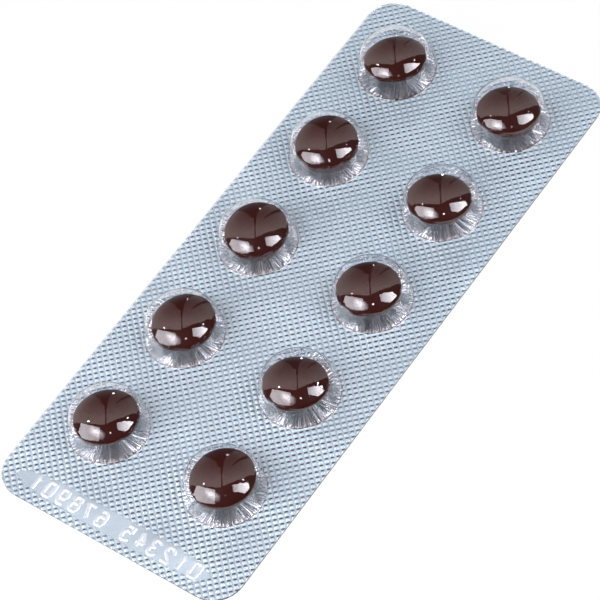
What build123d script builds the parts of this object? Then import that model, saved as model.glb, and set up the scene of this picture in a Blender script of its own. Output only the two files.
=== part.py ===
from build123d import *
from math import atan2, cos, degrees, radians, sin, tan
import os

# A push-through blister pack of ten sugar-coated tablets, lying pockets up on its foil.
# Millimetres, +Z up. The origin is the middle of the foil's underside. +Y runs along the
# pack, and the end at -Y has the wider margin, where such a pack carries its printed code.

# The round corners that the pack is cut out with
pack_corner_radius = 4.5

# The two webs that are sealed together
foil_thickness = 0.025
film_thickness = 0.25

# The grid of pockets, and the margins from the outer pockets' middles to the pack's edges
columns = 2
rows = 5
column_pitch = 19.8
row_pitch = 18.0
left_margin = 9.5
right_margin = 10.7
far_margin = 10.85
code_margin = 15.35

# A tablet: two equal domed faces that meet in a rounded rim
tablet_diameter = 9.3
tablet_thickness = 5.0
rim_radius = 0.9
# The sliver of air that is left where a tablet rests on the foil
rest_gap = 0.02

# The outside of a pocket, as the forming die gives it: a drafted wall, a round shoulder and
# a domed top. The room around a tablet is taken at the pocket's foot, out to the outside of
# the wall, and under the top of the dome.
foot_room = 1.3
head_room = 1.07
pocket_draft = 11.0
shoulder_radius = 1.8
crown_radius = 7.0
foot_bend = 0.35
# The film thins as it is drawn into the die
drawn_thickness = 0.18

# The most a tablet lies off its pocket's middle, as a share of its side play, and the most
# degrees it leans
side_share = 0.8
most_lean = 10.0
# How each tablet has settled, from the far row on and left column first: shares of the
# side play along X and Y, then shares of the most lean about X and about Y
settled = [
    (0.16, -0.36, -0.65, -0.75), (0.26, -0.64, -0.45, 0.15),
    (0.18, -0.14, 0.92, 0.21), (-0.26, -0.6, -0.7, -0.1),
    (0.12, 0.28, 0.86, 0.1), (-0.46, -0.42, -0.05, -0.2),
    (0.22, 0.46, 0.3, -0.4), (-0.52, -0.52, -0.65, -0.3),
    (-0.16, 0.22, -0.35, -0.45), (-0.22, 0.48, 0.5, -0.35),
]

pocket_foot_radius = tablet_diameter / 2 + foot_room
pocket_height = tablet_thickness + head_room + drawn_thickness
pack_width = left_margin + (columns - 1) * column_pitch + right_margin
pack_length = far_margin + (rows - 1) * row_pitch + code_margin
pocket_places = [
    (left_margin - pack_width / 2 + column * column_pitch,
     pack_length / 2 - far_margin - row * row_pitch)
    for row in range(rows)
    for column in range(columns)
]
os.makedirs("parts", exist_ok=True)


def web(bottom, thickness):
    """One sheet of the pack's outline, its round corners cut with the pack."""
    with BuildPart() as sheet:
        with BuildSketch(Plane.XY.offset(bottom)):
            RectangleRounded(pack_width, pack_length, pack_corner_radius)
        extrude(amount=thickness)
    return sheet.part


def pocket_form(inset):
    """One pocket as a solid of revolution, its skin drawn in by the inset all over."""
    foot_radius = pocket_foot_radius - inset / cos(radians(pocket_draft))
    height = pocket_height - inset
    crown = crown_radius - inset
    with BuildPart() as form:
        with BuildSketch(Plane.XZ):
            with BuildLine():
                Polyline(
                    (0, 0),
                    (foot_radius, 0),
                    (foot_radius - height * tan(radians(pocket_draft)), height),
                    (0, height),
                    close=True)
            make_face()
            with Locations((0, height - crown)):
                Circle(crown, mode=Mode.INTERSECT)
            shoulder = vertices().sort_by(Axis.Y)[-2]
            fillet(shoulder, radius=shoulder_radius - inset)
        revolve(axis=Axis.Z)
    return form.part


# The lidding foil: hard aluminium, sealed all over the film's underside
with BuildPart() as lidding_foil:
    add(web(0, foil_thickness))
lidding_foil.part.label = "lidding_foil"
export_step(lidding_foil.part, "parts/lidding_foil.step")

# The blister film: one sheet of clear PVC, drawn into a die at each pocket. Every pocket is
# hollow from the underside and has a small bend at its foot, on both faces of the film.
pocket_spots = [Location((x, y, foil_thickness)) for x, y in pocket_places]
pocket_outside = pocket_form(0)
pocket_inside = pocket_form(drawn_thickness)
with BuildPart() as blister_film:
    add(web(foil_thickness, film_thickness))
    with Locations(pocket_spots):
        add(pocket_outside)
    with Locations(pocket_spots):
        add(pocket_inside, mode=Mode.SUBTRACT)
    flats = blister_film.faces().filter_by(Plane.XY).sort_by(Axis.Z)
    upper_feet = flats[-1].inner_wires().edges()
    fillet(upper_feet, radius=foot_bend)
    flats = blister_film.faces().filter_by(Plane.XY).sort_by(Axis.Z)
    lower_feet = flats[0].inner_wires().edges()
    fillet(lower_feet, radius=foot_bend + film_thickness)
blister_film.part.label = "blister_film"
export_step(blister_film.part, "parts/blister_film.step")

# The tablets. A tablet's rim is an arc of the rim radius about rim_centre, and its faces
# are arcs about centres on the axis that run into it without a corner.
half_thickness = tablet_thickness / 2
rim_centre = tablet_diameter / 2 - rim_radius
dome_radius = (
    (rim_centre**2 + half_thickness**2 - rim_radius**2) / (2 * (half_thickness - rim_radius)))
dome_offset = dome_radius - half_thickness
dome_starts = degrees(atan2(dome_offset, rim_centre))
wall_at_rim = (
    pocket_foot_radius - drawn_thickness / cos(radians(pocket_draft))
    - half_thickness * tan(radians(pocket_draft)))
side_play = wall_at_rim - tablet_diameter / 2


def tablet_seat(place, rest):
    """The plane in a tablet's middle, leaning and set aside as that tablet has settled."""
    x_share, y_share, lean_x, lean_y = rest
    about_x = radians(lean_x * most_lean)
    about_y = radians(lean_y * most_lean)
    up = Vector(sin(about_y), -sin(about_x), cos(about_x) * cos(about_y)).normalized()
    reach = side_share * side_play
    middle = Vector(
        place[0] + x_share * reach,
        place[1] + y_share * reach,
        foil_thickness + rest_gap + dome_radius - dome_offset * up.Z)
    return Plane(origin=middle, x_dir=up.cross(Vector(0, -1, 0)), z_dir=up)


for number, (place, rest) in enumerate(zip(pocket_places, settled), start=1):
    seat = tablet_seat(place, rest)
    with BuildPart() as tablet:
        with BuildSketch(Plane(origin=seat.origin, x_dir=seat.x_dir, z_dir=-seat.y_dir)):
            with BuildLine():
                CenterArc((0, dome_offset), dome_radius, -90, 90 - dome_starts)
                CenterArc((rim_centre, 0), rim_radius, -dome_starts, 2 * dome_starts)
                CenterArc((0, -dome_offset), dome_radius, dome_starts, 90 - dome_starts)
                Line((0, half_thickness), (0, -half_thickness))
            make_face()
        revolve(axis=Axis(seat.origin, seat.z_dir))
    name = f"tablet_{number:02d}"
    tablet.part.label = name
    export_step(tablet.part, f"parts/{name}.step")
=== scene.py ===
import math

import bmesh
import bpy
from mathutils import Matrix, Quaternion, Vector


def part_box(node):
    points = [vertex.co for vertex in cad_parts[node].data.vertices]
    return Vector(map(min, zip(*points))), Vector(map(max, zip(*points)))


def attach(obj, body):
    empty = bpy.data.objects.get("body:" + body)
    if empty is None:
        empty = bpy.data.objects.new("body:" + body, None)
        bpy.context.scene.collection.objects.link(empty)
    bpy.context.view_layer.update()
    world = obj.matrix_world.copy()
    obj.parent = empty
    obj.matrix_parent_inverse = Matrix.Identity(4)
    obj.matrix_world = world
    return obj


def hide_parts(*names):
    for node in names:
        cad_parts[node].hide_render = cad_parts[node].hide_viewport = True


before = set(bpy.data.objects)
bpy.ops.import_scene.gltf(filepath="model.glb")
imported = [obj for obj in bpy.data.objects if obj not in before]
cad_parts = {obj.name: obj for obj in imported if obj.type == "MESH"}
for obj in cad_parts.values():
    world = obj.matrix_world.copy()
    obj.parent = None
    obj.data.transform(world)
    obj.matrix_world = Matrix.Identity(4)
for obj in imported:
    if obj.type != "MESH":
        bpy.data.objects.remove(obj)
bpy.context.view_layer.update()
scene = bpy.context.scene


# The studio: a white sweep in a dim room. The camera looks down on the film side from the
# near right corner with a long lens, rolled a little, as the pack was photographed.
MM = 0.001
CAMERA_PLACE = Vector((175.8, -177.6, 351.4)) * MM
CAMERA_AIM = Vector((0.4, -2.9, 0.0)) * MM
CAMERA_ROLL = math.radians(12.7)
CAMERA_LENS = 183.2
CAMERA_CLIP = 10.0 * MM
PHOTO_WHITE = "#FFFFFF"


def linear(hex_colour):
    """An sRGB hex colour as linear red, green and blue, with full alpha."""
    shares = [int(hex_colour[i:i + 2], 16) / 255 for i in (1, 3, 5)]
    lit = [s / 12.92 if s <= 0.04045 else ((s + 0.055) / 1.055)**2.4 for s in shares]
    return (*lit, 1.0)


def node(tree, kind, *values, **settings):
    """Adds a node with its settings, sets or links its inputs, and gives its outputs.

    The inputs come in the node's own order, or in a dict by name or number."""
    made = tree.nodes.new(kind)
    for name, value in settings.items():
        setattr(made, name, value)
    inputs = {}
    for order, value in enumerate(values):
        inputs.update(value if isinstance(value, dict) else {order: value})
    for key, value in inputs.items():
        if isinstance(value, bpy.types.NodeSocket):
            tree.links.new(value, made.inputs[key])
        else:
            made.inputs[key].default_value = value
    return made.outputs


camera_data = bpy.data.cameras.new("photo_camera")
camera_data.lens = CAMERA_LENS
camera_data.clip_start = CAMERA_CLIP
camera = bpy.data.objects.new("photo_camera", camera_data)
scene.collection.objects.link(camera)
camera.location = CAMERA_PLACE
level_view = (CAMERA_AIM - CAMERA_PLACE).to_track_quat("-Z", "Y")
camera.rotation_mode = "QUATERNION"
camera.rotation_quaternion = level_view @ Quaternion((0, 0, 1), -CAMERA_ROLL)
scene.camera = camera
scene.view_settings.view_transform = "Standard"

# Two large pale panels lean over the far side of the pack and all but meet, so that gloss
# shows a dark slot between them, and a post stands in front of the right one. Their corners
# are (azimuth, elevation) in degrees.
ROOM_GREY = "#2B2D31"
PANEL_NEAR_SLOT = "#8D7F80"
PANEL_FAR_SIDE = "#F8ECEA"
SLOT_MIDDLE = (128, 30)
# The panels grow brighter between these cosines of the angle off the slot's middle, and
# each fades in over this sine of the angle inside its edge
SLOT_SPREAD = (0.95, 0.45)
PANEL_EDGE = 0.02
LEFT_PANEL = (
    (155, 2), (131, 56), (130, 84), (-60, 72), (-100, 65), (-138, 44), (-154, 12), (-160, 2))
RIGHT_PANEL = (
    (114, 2), (128, 56), (126, 84), (-60, 72), (-20, 68), (21, 61), (46, 42), (60, 2))
RIGHT_POST = ((99, 2), (98, 52), (94, 52), (92, 2))


def toward(azimuth, elevation):
    """The unit vector toward a place in the room."""
    turn, rise = math.radians(azimuth), math.radians(elevation)
    return Vector((
        math.cos(rise) * math.cos(turn), math.cos(rise) * math.sin(turn), math.sin(rise)))


def panel_share(tree, direction, corners):
    """How far a direction lies on a panel: 1 inside it, 0 outside, with a soft edge."""
    places = [toward(*corner) for corner in corners]
    middle = sum(places, Vector())
    inside = 1.0
    for start, end in zip(places, places[1:] + places[:1]):
        side = start.cross(end).normalized()
        if side.dot(middle) < 0:
            side.negate()
        depth = node(
            tree, "ShaderNodeVectorMath", direction, side, operation="DOT_PRODUCT")["Value"]
        inside = node(tree, "ShaderNodeMath", inside, depth, operation="MINIMUM")[0]
    return node(tree, "ShaderNodeMapRange", inside, 0.0, PANEL_EDGE)[0]


room = bpy.data.worlds.new("studio_room")
room.use_nodes = True
tree = room.node_tree
tree.nodes.clear()
direction = node(tree, "ShaderNodeTexCoord")["Generated"]
left_share = panel_share(tree, direction, LEFT_PANEL)
right_share = panel_share(tree, direction, RIGHT_PANEL)
post_share = panel_share(tree, direction, RIGHT_POST)
panels = node(tree, "ShaderNodeMath", left_share, right_share, operation="MAXIMUM")[0]
past_post = node(tree, "ShaderNodeMath", 1.0, post_share, operation="SUBTRACT")[0]
panels = node(tree, "ShaderNodeMath", panels, past_post, operation="MULTIPLY")[0]
to_slot = toward(*SLOT_MIDDLE)
near_slot = node(
    tree, "ShaderNodeVectorMath", direction, to_slot, operation="DOT_PRODUCT")["Value"]
off_slot = node(tree, "ShaderNodeMapRange", near_slot, *SLOT_SPREAD)[0]
panel_shade = node(
    tree, "ShaderNodeMix", off_slot,
    {6: linear(PANEL_NEAR_SLOT), 7: linear(PANEL_FAR_SIDE)}, data_type="RGBA")[2]
shades = node(
    tree, "ShaderNodeMix", panels, {6: linear(ROOM_GREY), 7: panel_shade},
    data_type="RGBA")[2]
around = node(tree, "ShaderNodeBackground", shades)[0]
behind = node(tree, "ShaderNodeBackground", linear(PHOTO_WHITE))[0]
seen = node(tree, "ShaderNodeLightPath")["Is Camera Ray"]
pick = node(tree, "ShaderNodeMixShader", seen, around, behind)[0]
node(tree, "ShaderNodeOutputWorld", pick)
scene.world = room

# Two soft boxes stand left and right of the camera, one with a bright core hangs between
# them, and small bare lamps hang around the pack. Places and sizes are in metres, and the
# bare lamps' places are (azimuth, elevation) in degrees, all at one reach.
LAMP_TINT = (1.0, 0.975, 1.03)
# The core's middle and reach, in shares of the cloth's two sides
CLOTH_MIDDLE = (0.5, 0.5, 0.0)
CORE_REACH = 0.6
LAMP_REACH = 0.6
LAMP_SIZE = (0.022, 0.022)
LAMP_RADIANCE = 90.0
BARE_LAMPS = ((119.5, 27), (-46.4, 51.4), (37, 44), (-139, 48))


def soft_box(name, place, size, radiance, turn=0.0, along=(1.0, 1.0), rim=1.0):
    """A rectangular soft box that faces the pack, turned about its own axis by degrees.

    Its cloth glows unevenly: by the shares along its width, and down to the rim's share."""
    light = bpy.data.lights.new(name, "AREA")
    light.shape = "RECTANGLE"
    light.size, light.size_y = size
    light.energy = radiance * math.pi * size[0] * size[1]
    light.color = LAMP_TINT
    light.use_nodes = True
    tree = light.node_tree
    spot = node(tree, "ShaderNodeNewGeometry")["Parametric"]
    across = node(tree, "ShaderNodeSeparateXYZ", spot)[0]
    run = node(tree, "ShaderNodeMapRange", across, {3: along[0], 4: along[1]})[0]
    off_middle = node(
        tree, "ShaderNodeVectorMath", spot, CLOTH_MIDDLE, operation="SUBTRACT")[0]
    reach = node(tree, "ShaderNodeVectorMath", off_middle, operation="LENGTH")["Value"]
    core = node(
        tree, "ShaderNodeMapRange", reach, 0.0, CORE_REACH, 1.0, rim,
        interpolation_type="SMOOTHSTEP")[0]
    glow = node(tree, "ShaderNodeMath", run, core, operation="MULTIPLY")[0]
    tree.links.new(glow, tree.nodes["Emission"].inputs["Strength"])
    lamp = bpy.data.objects.new(name, light)
    lamp.location = place
    lamp.rotation_mode = "QUATERNION"
    facing = (-Vector(place)).to_track_quat("-Z", "Y")
    lamp.rotation_quaternion = facing @ Quaternion((0, 0, 1), math.radians(turn))
    lamp.visible_camera = False
    scene.collection.objects.link(lamp)


soft_box(
    "soft_box_left", (-0.167, -0.468, 0.336), (0.542, 0.409), 5.3,
    turn=33, along=(1.0, 0.65), rim=0.9)
soft_box("soft_box_middle", (-0.028, -0.401, 0.446), (0.442, 0.197), 7.3, turn=5, rim=0.0)
soft_box(
    "soft_box_right", (0.415, 0.086, 0.424), (0.395, 0.186), 9.0,
    turn=-49, along=(0.35, 1.35))
for number, corner in enumerate(BARE_LAMPS, start=1):
    soft_box(f"bare_lamp_{number}", toward(*corner) * LAMP_REACH, LAMP_SIZE, LAMP_RADIANCE)

# The sweep: matt white card just below the foil's knurl. The camera and every reflection
# see most of it as plain white, and the rest of it keeps the pack's shadow.
FLOOR_HALF = 1.5
FLOOR_DROP = -0.1 * MM
FLOOR_GLOW_SHARE = 0.85
CARD_WHITE = "#F4F4F4"
FLOOR_CORNERS = ((-1, -1), (1, -1), (1, 1), (-1, 1))
floor_mesh = bpy.data.meshes.new("white_sweep")
floor_mesh.from_pydata(
    [(x * FLOOR_HALF, y * FLOOR_HALF, FLOOR_DROP) for x, y in FLOOR_CORNERS],
    [], [(0, 1, 2, 3)])
floor = bpy.data.objects.new("white_sweep", floor_mesh)
scene.collection.objects.link(floor)
sweep = bpy.data.materials.new("white_card")
sweep.use_nodes = True
tree = sweep.node_tree
tree.nodes.clear()
path = node(tree, "ShaderNodeLightPath")
seen = node(
    tree, "ShaderNodeMath", path["Is Glossy Ray"], path["Is Transmission Ray"],
    operation="MAXIMUM")[0]
seen = node(tree, "ShaderNodeMath", path["Is Camera Ray"], seen, operation="MAXIMUM")[0]
share = node(tree, "ShaderNodeMath", seen, FLOOR_GLOW_SHARE, operation="MULTIPLY")[0]
card = node(tree, "ShaderNodeBsdfDiffuse", linear(CARD_WHITE))[0]
glow = node(tree, "ShaderNodeEmission", linear(PHOTO_WHITE), 1.0)[0]
mixed = node(tree, "ShaderNodeMixShader", share, card, glow)[0]
node(tree, "ShaderNodeOutputMaterial", mixed)
floor_mesh.materials.append(sweep)


# The blister film: one sheet of clear PVC, drawn warm into a die at each pocket, so that its
# skin is as smooth as the die with a faint waviness. It is sealed to the foil all over its
# flat part. The solid has the true shape, so only its finish is given here.
FILM_TINT = "#FCFDFF"
FILM_SHADE = "#FCFDFE"
FILM_WAVE_LENGTH = 3.0 * MM
FILM_WAVE_HEIGHT = 0.004 * MM


def empty_material(name):
    """A material with nothing in its node tree, and that tree."""
    material = bpy.data.materials.new(name)
    material.use_nodes = True
    material.node_tree.nodes.clear()
    return material, material.node_tree


# Thermoformed PVC: clear and glossy. The eye gets the lamps' sharp reflections on each dome,
# a bent view of the tablet and the foil, and bright and dark lines at each wall and foot.
# Light on its way to what lies under the film passes straight through.
film, tree = empty_material("thermoformed_pvc")
place = node(tree, "ShaderNodeTexCoord")["Object"]
waves = node(
    tree, "ShaderNodeTexNoise",
    {"Vector": place, "Scale": 1 / FILM_WAVE_LENGTH, "Detail": 1.0})[0]
wavy = node(
    tree, "ShaderNodeBump",
    {"Height": waves, "Distance": FILM_WAVE_HEIGHT, "Strength": 1.0})[0]
clear = node(tree, "ShaderNodeBsdfPrincipled", {
    "Base Color": linear(FILM_TINT), "Roughness": 0.0, "IOR": 1.54,
    "Transmission Weight": 1.0, "Normal": wavy})[0]
through = node(tree, "ShaderNodeBsdfTransparent", linear(FILM_SHADE))[0]
path = node(tree, "ShaderNodeLightPath")
not_mirrored = node(
    tree, "ShaderNodeMath", 1.0, path["Is Singular Ray"], operation="SUBTRACT")[0]
off_content = node(
    tree, "ShaderNodeMath", path["Is Glossy Ray"], not_mirrored, operation="MULTIPLY")[0]
inner_light = node(
    tree, "ShaderNodeMath", path["Is Diffuse Ray"], off_content, operation="MAXIMUM")[0]
inner_light = node(
    tree, "ShaderNodeMath", path["Is Shadow Ray"], inner_light, operation="MAXIMUM")[0]
skin = node(tree, "ShaderNodeMixShader", inner_light, clear, through)[0]
node(tree, "ShaderNodeOutputMaterial", skin)
blister_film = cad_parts["blister_film"]
blister_film.data.materials.clear()
blister_film.data.materials.append(film)


# The tablets: ten pressed cores under a dark brown sugar coat, which is built up in thin
# layers in a turning drum. One is dropped into each pocket before the foil closes it, and
# each has settled in its own way, as its solid has.
COAT_DARK = "#31100B"
COAT_LIGHT = "#3D1711"
COAT_CLOUD = 2.5 * MM
COAT_WAVE = 0.7 * MM
COAT_WAVE_HEIGHT = 0.0015 * MM

# Sugar coat: an even satin brown. The eye gets a deep colour with faint lighter clouds and
# the slight unevenness of the layers, and the film over it adds the gloss.
coat, tree = empty_material("satin_sugar_coat")
place = node(tree, "ShaderNodeTexCoord")["Object"]
clouds = node(
    tree, "ShaderNodeTexNoise", {"Vector": place, "Scale": 1 / COAT_CLOUD, "Detail": 3.0})[0]
brown = node(
    tree, "ShaderNodeMix", clouds, {6: linear(COAT_DARK), 7: linear(COAT_LIGHT)},
    data_type="RGBA")[2]
layers = node(
    tree, "ShaderNodeTexNoise", {"Vector": place, "Scale": 1 / COAT_WAVE, "Detail": 2.0})[0]
uneven = node(
    tree, "ShaderNodeBump",
    {"Height": layers, "Distance": COAT_WAVE_HEIGHT, "Strength": 1.0})[0]
sugar = node(tree, "ShaderNodeBsdfPrincipled", {
    "Base Color": brown, "Roughness": 0.4, "IOR": 1.5, "Specular IOR Level": 0.06,
    "Normal": uneven})[0]
node(tree, "ShaderNodeOutputMaterial", sugar)
for name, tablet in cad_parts.items():
    if name.startswith("tablet_"):
        tablet.data.materials.clear()
        tablet.data.materials.append(coat)


# The lidding foil: hard aluminium foil with a heat-seal lacquer. The sealing tool knurls it
# into rows of small studs at 45 degrees to the pack's edges. It stays smooth under the
# pockets, where it creases toward the foot, and in the band for the stamped code.
foil_low, foil_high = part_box("lidding_foil")
FOIL_GAUGE = foil_high.z - foil_low.z
PACK_CORNER = 4.5 * MM
KNURL_PITCH = 0.85 * MM
KNURL_DEPTH = 0.05 * MM
KNURL_TURN = math.radians(45)
CELLS_A_STUD = 3
COLUMNS = 2
ROWS = 5
COLUMN_PITCH = 19.8 * MM
ROW_PITCH = 18.0 * MM
LEFT_MARGIN = 9.5 * MM
FAR_MARGIN = 10.85 * MM
FIRST_POCKET = Vector((foil_low.x + LEFT_MARGIN, foil_high.y - FAR_MARGIN, 0))
POCKET_FOOT = 5.75 * MM
CODE_MIDDLE = Vector((-0.95, -45.9, 0)) * MM
CODE_HALF_LENGTH = 16.4 * MM
CODE_HALF_HEIGHT = 1.8 * MM
# The band is a superellipse: the power along its length keeps its long sides nearly
# straight, and the power across it leaves its ends round
CODE_LENGTH_POWER = 4.0
CODE_HEIGHT_POWER = 2.0
# A cell is cut away when more than this share of its corners lies outside the pack
CUT_SHARE = 0.99


def knurled_foil_tree():
    """Geometry Nodes: a sheet of square cells, trimmed to the pack and pressed into studs."""
    tree = bpy.data.node_groups.new("knurled_foil", "GeometryNodeTree")
    face = tree.interface
    sizes = {
        "Half Width": foil_high.x, "Half Length": foil_high.y, "Corner": PACK_CORNER,
        "Top": foil_high.z, "Pitch": KNURL_PITCH, "Depth": KNURL_DEPTH,
        "Pocket Foot": POCKET_FOOT, "Code Half Length": CODE_HALF_LENGTH,
        "Code Half Height": CODE_HALF_HEIGHT}
    for name, value in sizes.items():
        socket = face.new_socket(name, in_out="INPUT", socket_type="NodeSocketFloat")
        socket.default_value = value
    face.new_socket("Material", in_out="INPUT", socket_type="NodeSocketMaterial")
    face.new_socket("Geometry", in_out="OUTPUT", socket_type="NodeSocketGeometry")
    given = node(tree, "NodeGroupInput")

    # A sheet of cells, a third of the knurl's pitch each, turned by 45 degrees. Its reach
    # from the middle is the pack's, measured along the turned rows.
    cell = node(tree, "ShaderNodeMath", given["Pitch"], CELLS_A_STUD, operation="DIVIDE")[0]
    reach = node(
        tree, "ShaderNodeMath", given["Half Width"], given["Half Length"],
        operation="ADD")[0]
    reach = node(
        tree, "ShaderNodeMath", reach, math.cos(KNURL_TURN), operation="MULTIPLY")[0]
    cells = node(tree, "ShaderNodeMath", reach, cell, operation="DIVIDE")[0]
    cells = node(tree, "ShaderNodeMath", cells, operation="CEIL")[0]
    cells = node(tree, "ShaderNodeMath", cells, 2.0, operation="MULTIPLY")[0]
    side = node(tree, "ShaderNodeMath", cells, cell, operation="MULTIPLY")[0]
    count = node(tree, "ShaderNodeMath", cells, 1.0, operation="ADD")[0]
    sheet = node(tree, "GeometryNodeMeshGrid", side, side, count, count)[0]
    turned = node(
        tree, "GeometryNodeTransform",
        {"Geometry": sheet, "Rotation": (0, 0, KNURL_TURN)})[0]

    # Trimmed to the pack's rounded outline: cells wholly outside it go, and the corners of
    # the cells that cross it are drawn in to it
    place = node(tree, "GeometryNodeInputPosition")[0]
    core_width = node(
        tree, "ShaderNodeMath", given["Half Width"], given["Corner"],
        operation="SUBTRACT")[0]
    core_length = node(
        tree, "ShaderNodeMath", given["Half Length"], given["Corner"],
        operation="SUBTRACT")[0]
    core = node(tree, "ShaderNodeCombineXYZ", core_width, core_length, 1.0)[0]
    past = node(tree, "ShaderNodeVectorMath", place, operation="ABSOLUTE")[0]
    past = node(tree, "ShaderNodeVectorMath", past, core, operation="SUBTRACT")[0]
    past = node(tree, "ShaderNodeVectorMath", past, (0, 0, 0), operation="MAXIMUM")[0]
    beyond = node(tree, "ShaderNodeVectorMath", past, operation="LENGTH")["Value"]
    beyond = node(tree, "ShaderNodeMath", beyond, given["Corner"], operation="SUBTRACT")[0]
    outside = node(tree, "ShaderNodeMath", beyond, 0.0, operation="GREATER_THAN")[0]
    by_cell = node(tree, "GeometryNodeFieldOnDomain", outside, domain="FACE")[0]
    cut_away = node(tree, "ShaderNodeMath", by_cell, CUT_SHARE, operation="GREATER_THAN")[0]
    trimmed = node(
        tree, "GeometryNodeDeleteGeometry", {"Geometry": turned, "Selection": cut_away},
        domain="FACE")[0]
    signs = node(tree, "ShaderNodeVectorMath", place, operation="SIGN")[0]
    outward = node(tree, "ShaderNodeVectorMath", past, operation="NORMALIZE")[0]
    outward = node(tree, "ShaderNodeVectorMath", outward, signs, operation="MULTIPLY")[0]
    inward = node(tree, "ShaderNodeMath", beyond, -1.0, operation="MULTIPLY")[0]
    pull = node(
        tree, "ShaderNodeVectorMath", outward, {"Scale": inward}, operation="SCALE")[0]
    drawn_in = node(
        tree, "GeometryNodeSetPosition",
        {"Geometry": trimmed, "Selection": outside, "Offset": pull})[0]

    # Where the tool presses: everywhere but under the pockets and in the code's band
    grid_size = ((COLUMNS - 1) * COLUMN_PITCH, (ROWS - 1) * ROW_PITCH)
    grid_middle = FIRST_POCKET + Vector((grid_size[0] / 2, -grid_size[1] / 2, 0))
    pockets = node(tree, "GeometryNodeMeshGrid", *grid_size, COLUMNS, ROWS)[0]
    pockets = node(
        tree, "GeometryNodeTransform", {"Geometry": pockets, "Translation": grid_middle})[0]
    nearest = node(
        tree, "GeometryNodeProximity", {"Geometry": pockets, "Sample Position": place},
        target_element="POINTS")["Position"]
    from_pocket = node(
        tree, "ShaderNodeVectorMath", place, nearest, operation="SUBTRACT")[0]
    radius = node(tree, "ShaderNodeVectorMath", from_pocket, operation="LENGTH")["Value"]
    sealed = node(
        tree, "ShaderNodeMath", radius, given["Pocket Foot"], operation="GREATER_THAN")[0]
    band = node(tree, "ShaderNodeVectorMath", place, CODE_MIDDLE, operation="SUBTRACT")[0]
    band = node(tree, "ShaderNodeSeparateXYZ", band)
    shares = []
    for run, half, power in (
            (band[0], given["Code Half Length"], CODE_LENGTH_POWER),
            (band[1], given["Code Half Height"], CODE_HEIGHT_POWER)):
        share = node(tree, "ShaderNodeMath", run, half, operation="DIVIDE")[0]
        share = node(tree, "ShaderNodeMath", share, operation="ABSOLUTE")[0]
        shares.append(node(tree, "ShaderNodeMath", share, power, operation="POWER")[0])
    off_band = node(tree, "ShaderNodeMath", *shares, operation="ADD")[0]
    off_band = node(tree, "ShaderNodeMath", off_band, 1.0, operation="GREATER_THAN")[0]
    knurled = node(tree, "ShaderNodeMath", sealed, off_band, operation="MULTIPLY")[0]

    # Studs: the sheet falls from each stud's top to the valleys between the rows
    spread = node(tree, "ShaderNodeSeparateXYZ", place)
    waves = []
    for operation in ("ADD", "SUBTRACT"):
        run = node(tree, "ShaderNodeMath", spread[0], spread[1], operation=operation)[0]
        run = node(
            tree, "ShaderNodeMath", run, math.cos(KNURL_TURN), operation="MULTIPLY")[0]
        wave = node(tree, "ShaderNodeMath", run, given["Pitch"], operation="DIVIDE")[0]
        wave = node(tree, "ShaderNodeMath", wave, operation="FRACT")[0]
        wave = node(tree, "ShaderNodeMath", wave, 0.5, operation="SUBTRACT")[0]
        wave = node(tree, "ShaderNodeMath", wave, operation="ABSOLUTE")[0]
        waves.append(node(tree, "ShaderNodeMath", wave, 2.0, operation="MULTIPLY")[0])
    off_top = node(tree, "ShaderNodeMath", *waves, operation="MAXIMUM")[0]
    drop = node(tree, "ShaderNodeMapRange", off_top, 1 / CELLS_A_STUD, 1.0)[0]
    drop = node(tree, "ShaderNodeMath", drop, knurled, operation="MULTIPLY")[0]
    drop = node(tree, "ShaderNodeMath", drop, given["Depth"], operation="MULTIPLY")[0]
    height = node(tree, "ShaderNodeMath", given["Top"], drop, operation="SUBTRACT")[0]
    lift = node(tree, "ShaderNodeCombineXYZ", {2: height})[0]

    # What the finish needs to know of each point goes with the mesh
    bare = node(tree, "ShaderNodeMath", 1.0, sealed, operation="SUBTRACT")[0]
    marked = drawn_in
    for name, value, data_type in (
            ("knurled", knurled, "FLOAT"), ("bare", bare, "FLOAT"),
            ("from_pocket", from_pocket, "FLOAT_VECTOR")):
        marked = node(
            tree, "GeometryNodeStoreNamedAttribute",
            {"Geometry": marked, "Name": name, "Value": value},
            data_type=data_type, domain="POINT")[0]
    pressed = node(tree, "GeometryNodeSetPosition", {"Geometry": marked, "Offset": lift})[0]
    smooth = node(tree, "GeometryNodeSetShadeSmooth", {"Geometry": pressed})[0]
    solid = node(tree, "GeometryNodeRealizeInstances", smooth)[0]
    finished = node(
        tree, "GeometryNodeSetMaterial",
        {"Geometry": solid, "Material": given["Material"]})[0]
    node(tree, "NodeGroupOutput", finished)
    return tree


def grown(name, tree, values, thickness):
    """A plain mesh piece from a tree, with a wall: both modifiers are evaluated and removed."""
    piece = bpy.data.objects.new(name, bpy.data.meshes.new(name))
    scene.collection.objects.link(piece)
    grower = piece.modifiers.new("grown", "NODES")
    grower.node_group = tree
    for item in tree.interface.items_tree:
        if item.in_out == "INPUT" and item.name in values:
            grower[item.identifier] = values[item.name]
    wall = piece.modifiers.new("wall", "SOLIDIFY")
    wall.thickness = thickness
    wall.offset = -1
    bpy.context.view_layer.update()
    ready = piece.evaluated_get(bpy.context.evaluated_depsgraph_get())
    mesh = bpy.data.meshes.new_from_object(ready)
    piece.modifiers.clear()
    piece.data = mesh
    mesh.name = name
    return piece


# Knurled aluminium foil: cold rolled metal under a bluish lacquer. The eye gets grey-blue
# metal with a light roof and a burnished dark flank on every stud, a slow sway of the whole
# sheet, and under the pockets bare bright metal with fine creases out from the middle. The
# bump's heights are several times the real ones, so that its slopes show in a render.
SEALED_TINT = "#E1F5FF"
BARE_TINT = "#ECEBF0"
SEALED_METAL = 0.59
SEALED_ROUGHNESS = 0.36
BARE_ROUGHNESS = 0.08
FLANK_ROUGHNESS = 0.23
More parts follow.
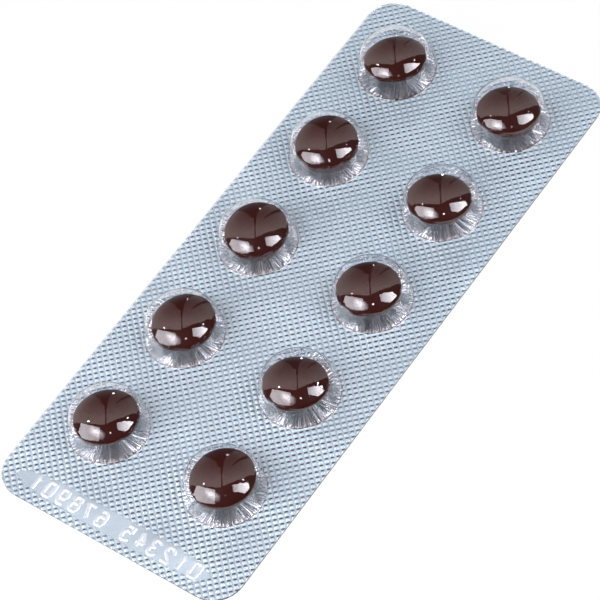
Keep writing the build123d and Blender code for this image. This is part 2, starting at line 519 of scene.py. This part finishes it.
# A stud's slopes, from foot to top, in shares of its cell across the row, and in shares of
# the way from its middle to its end along the row
STUD_RELIEF = 0.15 * MM
STUD_NEAR_SPAN = (0.0, 0.5)
STUD_FAR_SPAN = (0.97, 0.55)
STUD_END_SPAN = (0.85, 0.4)
ROOF_ROUNDING = 0.12
# Creases about a pocket, the radii where they start and are full, and how far inside the
# foot they fade. The shift gives every pocket creases of its own.
CREASES_ROUND = 160.0
CREASE_HEIGHT = 0.8 * MM
CREASE_START = (1.0 * MM, 3.5 * MM)
CREASE_FADE = 0.7 * MM
CREASE_SHIFT = (300.0, 300.0, 0.0)
BULGE_HEIGHT = 0.46 * MM
SWAY_LENGTH = 8.0 * MM
SWAY_HEIGHT = 1.0 * MM
foil, tree = empty_material("knurled_aluminium_foil")
place = node(tree, "ShaderNodeTexCoord")["Object"]
knurled = node(tree, "ShaderNodeAttribute", attribute_name="knurled")["Fac"]
bare = node(tree, "ShaderNodeAttribute", attribute_name="bare")["Fac"]
from_pocket = node(tree, "ShaderNodeAttribute", attribute_name="from_pocket")["Vector"]

# The studs' round form, in cells along and across the turned rows
cells = node(
    tree, "ShaderNodeMapping",
    {"Vector": place, "Rotation": (0, 0, KNURL_TURN),
     "Scale": (KNURL_PITCH, KNURL_PITCH, 1.0)}, vector_type="TEXTURE")[0]
cells = node(tree, "ShaderNodeSeparateXYZ", cells)
along_row = node(tree, "ShaderNodeMath", cells[0], operation="FRACT")[0]
along_row = node(tree, "ShaderNodeMath", along_row, 0.5, operation="SUBTRACT")[0]
along_row = node(tree, "ShaderNodeMath", along_row, operation="ABSOLUTE")[0]
along_row = node(tree, "ShaderNodeMath", along_row, 2.0, operation="MULTIPLY")[0]
across_row = node(tree, "ShaderNodeMath", cells[1], operation="FRACT")[0]
near_rise = node(tree, "ShaderNodeMapRange", across_row, *STUD_NEAR_SPAN)[0]
far_rise = node(tree, "ShaderNodeMapRange", across_row, *STUD_FAR_SPAN)[0]
ends = node(
    tree, "ShaderNodeMapRange", along_row, *STUD_END_SPAN,
    interpolation_type="SMOOTHSTEP")[0]
stud = node(
    tree, "ShaderNodeMath", near_rise, far_rise, ROOF_ROUNDING, operation="SMOOTH_MIN")[0]
for share in (ends, knurled, STUD_RELIEF):
    stud = node(tree, "ShaderNodeMath", stud, share, operation="MULTIPLY")[0]

# The creases: noise that changes with the heading from the pocket's middle
heading = node(tree, "ShaderNodeVectorMath", from_pocket, operation="NORMALIZE")[0]
heading = node(
    tree, "ShaderNodeVectorMath", heading, {"Scale": CREASES_ROUND / (2 * math.pi)},
    operation="SCALE")[0]
shift = node(tree, "ShaderNodeVectorMath", place, from_pocket, operation="SUBTRACT")[0]
shift = node(tree, "ShaderNodeVectorMath", shift, CREASE_SHIFT, operation="MULTIPLY")[0]
heading = node(tree, "ShaderNodeVectorMath", heading, shift, operation="ADD")[0]
crease = node(
    tree, "ShaderNodeTexNoise",
    {"Vector": heading, "Scale": 1.0, "Detail": 1.0, "Roughness": 0.5})[0]
crease = node(tree, "ShaderNodeMath", crease, 0.5, operation="SUBTRACT")[0]
radius = node(tree, "ShaderNodeVectorMath", from_pocket, operation="LENGTH")["Value"]
start = node(tree, "ShaderNodeMapRange", radius, *CREASE_START)[0]
fade = node(tree, "ShaderNodeMapRange", radius, POCKET_FOOT, POCKET_FOOT - CREASE_FADE)[0]
for share in (start, fade, bare, CREASE_HEIGHT):
    crease = node(tree, "ShaderNodeMath", crease, share, operation="MULTIPLY")[0]

# The foil stands up a little under a pocket, and the whole sheet sways
share_out = node(tree, "ShaderNodeMath", radius, POCKET_FOOT, operation="DIVIDE")[0]
share_out = node(tree, "ShaderNodeMath", share_out, 1.0, operation="MINIMUM")[0]
fallen = node(tree, "ShaderNodeMath", share_out, 2.0, operation="POWER")[0]
bulge = node(tree, "ShaderNodeMath", 1.0, fallen, operation="SUBTRACT")[0]
for share in (bare, BULGE_HEIGHT):
    bulge = node(tree, "ShaderNodeMath", bulge, share, operation="MULTIPLY")[0]
sway = node(
    tree, "ShaderNodeTexNoise",
    {"Vector": place, "Scale": 1 / SWAY_LENGTH, "Detail": 0.0})[0]
sway = node(tree, "ShaderNodeMath", sway, SWAY_HEIGHT, operation="MULTIPLY")[0]

# All the relief together, turned over on the foil's underside
relief = node(tree, "ShaderNodeMath", crease, bulge, operation="ADD")[0]
relief = node(tree, "ShaderNodeMath", stud, relief, operation="ADD")[0]
relief = node(tree, "ShaderNodeMath", relief, sway, operation="ADD")[0]
side = node(tree, "ShaderNodeNewGeometry")["True Normal"]
side = node(tree, "ShaderNodeSeparateXYZ", side)[2]
side = node(tree, "ShaderNodeMath", side, operation="SIGN")[0]
relief = node(tree, "ShaderNodeMath", relief, side, operation="MULTIPLY")[0]
bumped = node(
    tree, "ShaderNodeBump", {"Height": relief, "Distance": 1.0, "Strength": 1.0})[0]

# The flanks: the middle of each far slope, where the tool has rubbed the lacquer through
not_risen = node(tree, "ShaderNodeMath", 1.0, far_rise, operation="SUBTRACT")[0]
flank = node(tree, "ShaderNodeMath", far_rise, not_risen, operation="MULTIPLY")[0]
for share in (4.0, ends, knurled):
    flank = node(tree, "ShaderNodeMath", flank, share, operation="MULTIPLY")[0]
tint = node(
    tree, "ShaderNodeMix", bare, {6: linear(SEALED_TINT), 7: linear(BARE_TINT)},
    data_type="RGBA")[2]
metallic = node(tree, "ShaderNodeMapRange", bare, {3: SEALED_METAL, 4: 1.0})[0]
metallic = node(tree, "ShaderNodeMapRange", flank, {3: metallic, 4: 1.0})[0]
roughness = node(
    tree, "ShaderNodeMapRange", bare, {3: SEALED_ROUGHNESS, 4: BARE_ROUGHNESS})[0]
roughness = node(
    tree, "ShaderNodeMapRange", flank, {3: roughness, 4: FLANK_ROUGHNESS})[0]
metal = node(tree, "ShaderNodeBsdfPrincipled", {
    "Base Color": tint, "Metallic": metallic, "Roughness": roughness, "Normal": bumped})[0]
node(tree, "ShaderNodeOutputMaterial", metal)

SHARP_EDGE = math.radians(40)
foil_piece = grown("foil_knurled", knurled_foil_tree(), {"Material": foil}, FOIL_GAUGE)
foil_piece.data.set_sharp_from_angle(angle=SHARP_EDGE)
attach(foil_piece, "root")
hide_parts("lidding_foil")


# The stamped code: plain counting digits, pressed into the margin from the foil side, so they
# read in mirror writing through the film. They stand up as round ridges of the foil itself.
# A ridge is the cap of a tube that lies mostly below the foil.
DIGITS = "012345 678901"
DIGIT_PITCH = 2.25 * MM
DIGIT_WIDTH = 1.2 * MM
DIGIT_HEIGHT = 2.15 * MM
RIDGE_RADIUS = 0.45 * MM
RIDGE_RISE = 0.13 * MM
# Points of a tube that lie this close are merged, and then it is cut this far below the
# foil's upper face
RIDGE_MERGE = 0.002 * MM
RIDGE_ROOT = 0.01 * MM
# A digit's strokes are open lines or closed loops, in shares of its width and height
DIGIT_STROKES = {
    "0": (
        "loop", [
            (0.5, 1.02), (0, 1), (-0.02, 0.5), (0, 0),
            (0.5, -0.02), (1, 0), (1.02, 0.5), (1, 1)]),
    "1": ("line", [(0.15, 0.72), (0.6, 1)], "line", [(0.6, 1), (0.6, 0)]),
    "2": (
        "line", [(0, 0.72), (0.02, 1.05), (0.98, 1.08), (1.02, 0.6), (0.4, 0.35), (0, 0)],
        "line", [(0, 0), (1, 0)]),
    "3": (
        "line", [(0, 0.85), (0.2, 1.03), (0.95, 1.05), (0.95, 0.56), (0.4, 0.54)],
        "line", [(0.4, 0.54), (1.05, 0.54), (1.05, -0.04), (0.2, -0.04), (0, 0.16)]),
    "4": (
        "line", [(0.72, 0), (0.72, 1)], "line", [(0.72, 1), (0, 0.3)],
        "line", [(0, 0.3), (1, 0.3)]),
    "5": (
        "line", [(0.9, 1), (0.15, 1)], "line", [(0.15, 1), (0.1, 0.55)],
        "line", [(0.1, 0.55), (0.5, 0.68), (1.05, 0.6), (1.05, 0), (0.5, -0.06), (0, 0.1)]),
    "6": (
        "line", [(0.9, 0.95), (0.3, 1.1), (0, 0.7), (0, 0.3)],
        "loop", [(0.5, 0.6), (0, 0.6), (0, 0), (0.5, -0.02), (1, 0), (1, 0.6)]),
    "7": ("line", [(0, 1), (1, 1)], "line", [(1, 1), (0.35, 0)]),
    "8": (
        "loop", [(0.5, 1.02), (0.08, 1), (0.08, 0.56), (0.5, 0.54), (0.92, 0.56), (0.92, 1)],
        "loop", [(0.5, 0.54), (0, 0.54), (0, 0), (0.5, -0.02), (1, 0), (1, 0.54)]),
    "9": (
        "loop", [(0.5, 1.02), (0, 1), (0, 0.42), (0.5, 0.4), (1, 0.42), (1, 1)],
        "line", [(1, 0.7), (1, 0.3), (0.7, -0.1), (0.1, 0.05)]),
}
digit_curve = bpy.data.curves.new("stamped_digits", "CURVE")
digit_curve.dimensions = "3D"
digit_curve.bevel_depth = RIDGE_RADIUS
digit_curve.bevel_resolution = 8
digit_curve.resolution_u = 6
digit_curve.use_fill_caps = True
for order, digit in enumerate(DIGITS):
    left = (order - len(DIGITS) / 2) * DIGIT_PITCH
    strokes = DIGIT_STROKES.get(digit, ())
    for kind, points in zip(strokes[::2], strokes[1::2]):
        stroke = digit_curve.splines.new("NURBS")
        stroke.points.add(len(points) - 1)
        for point, (x, y) in zip(stroke.points, points):
            point.co = (-left - x * DIGIT_WIDTH, (y - 0.5) * DIGIT_HEIGHT, 0, 1)
        stroke.order_u = min(3, len(points))
        stroke.use_cyclic_u = kind == "loop"
        stroke.use_endpoint_u = kind == "line"
digit_shape = bpy.data.objects.new("digit_shape", digit_curve)
scene.collection.objects.link(digit_shape)
bpy.context.view_layer.update()
digit_mesh = bpy.data.meshes.new_from_object(
    digit_shape.evaluated_get(bpy.context.evaluated_depsgraph_get()))
bpy.data.objects.remove(digit_shape)
digit_mesh.name = "stamped_digits"
tube_height = foil_high.z + RIDGE_RISE - RIDGE_RADIUS
digit_mesh.transform(Matrix.Translation(CODE_MIDDLE + Vector((0, 0, tube_height))))
ridges = bmesh.new()
ridges.from_mesh(digit_mesh)
bmesh.ops.remove_doubles(ridges, verts=ridges.verts, dist=RIDGE_MERGE)
bmesh.ops.bisect_plane(
    ridges, geom=ridges.verts[:] + ridges.edges[:] + ridges.faces[:],
    plane_co=(0, 0, foil_high.z - RIDGE_ROOT), plane_no=(0, 0, 1), clear_inner=True)
bmesh.ops.holes_fill(ridges, edges=[edge for edge in ridges.edges if edge.is_boundary])
bmesh.ops.recalc_face_normals(ridges, faces=ridges.faces)
ridges.to_mesh(digit_mesh)
ridges.free()
digit_mesh.shade_smooth()
digit_mesh.set_sharp_from_angle(angle=SHARP_EDGE)
digit_mesh.materials.clear()

# Stretched foil: aluminium drawn thin by the stamp, which dulls its lacquer. The eye gets
# pale satin ridges, lighter than the smooth band that they stand in. Their grain is drawn
# coarser than the real one, so that it shows.
STRETCH_DARK = "#DCE9F4"
STRETCH_LIGHT = "#F8FFFF"
STRETCH_GRAIN = 0.5 * MM
STRETCH_DENTS = 0.03 * MM
stretched, tree = empty_material("stretched_foil")
place = node(tree, "ShaderNodeTexCoord")["Object"]
grain = node(
    tree, "ShaderNodeTexNoise",
    {"Vector": place, "Scale": 1 / STRETCH_GRAIN, "Detail": 2.0})[0]
shade = node(
    tree, "ShaderNodeMix", grain, {6: linear(STRETCH_DARK), 7: linear(STRETCH_LIGHT)},
    data_type="RGBA")[2]
dents = node(
    tree, "ShaderNodeBump",
    {"Height": grain, "Distance": STRETCH_DENTS, "Strength": 1.0})[0]
satin = node(tree, "ShaderNodeBsdfPrincipled", {
    "Base Color": shade, "Metallic": 0.35, "Roughness": 0.33, "Normal": dents})[0]
node(tree, "ShaderNodeOutputMaterial", satin)
digit_mesh.materials.append(stretched)
digits = bpy.data.objects.new("stamped_digits", digit_mesh)
scene.collection.objects.link(digits)
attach(digits, "root")
